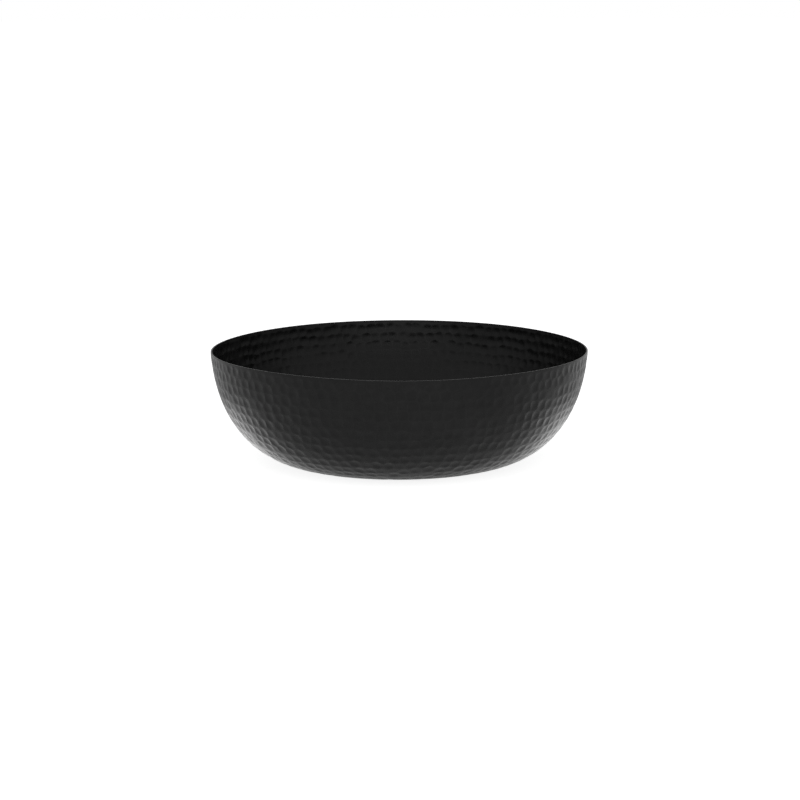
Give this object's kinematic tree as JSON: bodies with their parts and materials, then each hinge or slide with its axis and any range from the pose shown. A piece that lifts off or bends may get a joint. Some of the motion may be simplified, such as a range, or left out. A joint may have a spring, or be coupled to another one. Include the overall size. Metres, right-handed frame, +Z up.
{
  "type": "hammered bowl",
  "caption": "Wide round bowl raised from one sheet of metal, with a flat base, full curved wall, plain thin rim and hammer marks all over, satin black.",
  "frame": {"origin": "centre of the flat base, on the surface that the bowl stands on", "axes": "+Z up along the axis of the bowl; the bowl is round, so +X and +Y are any two directions square to each other"},
  "size_m": [0.3, 0.3, 0.0886],
  "materials": {
    "black_patina": "satin black patina over hammered sheet metal, no bare metal showing"
  },
  "bodies": {
    "root": {"bowl_shell": "black_patina"}
  },
  "joints": []
}
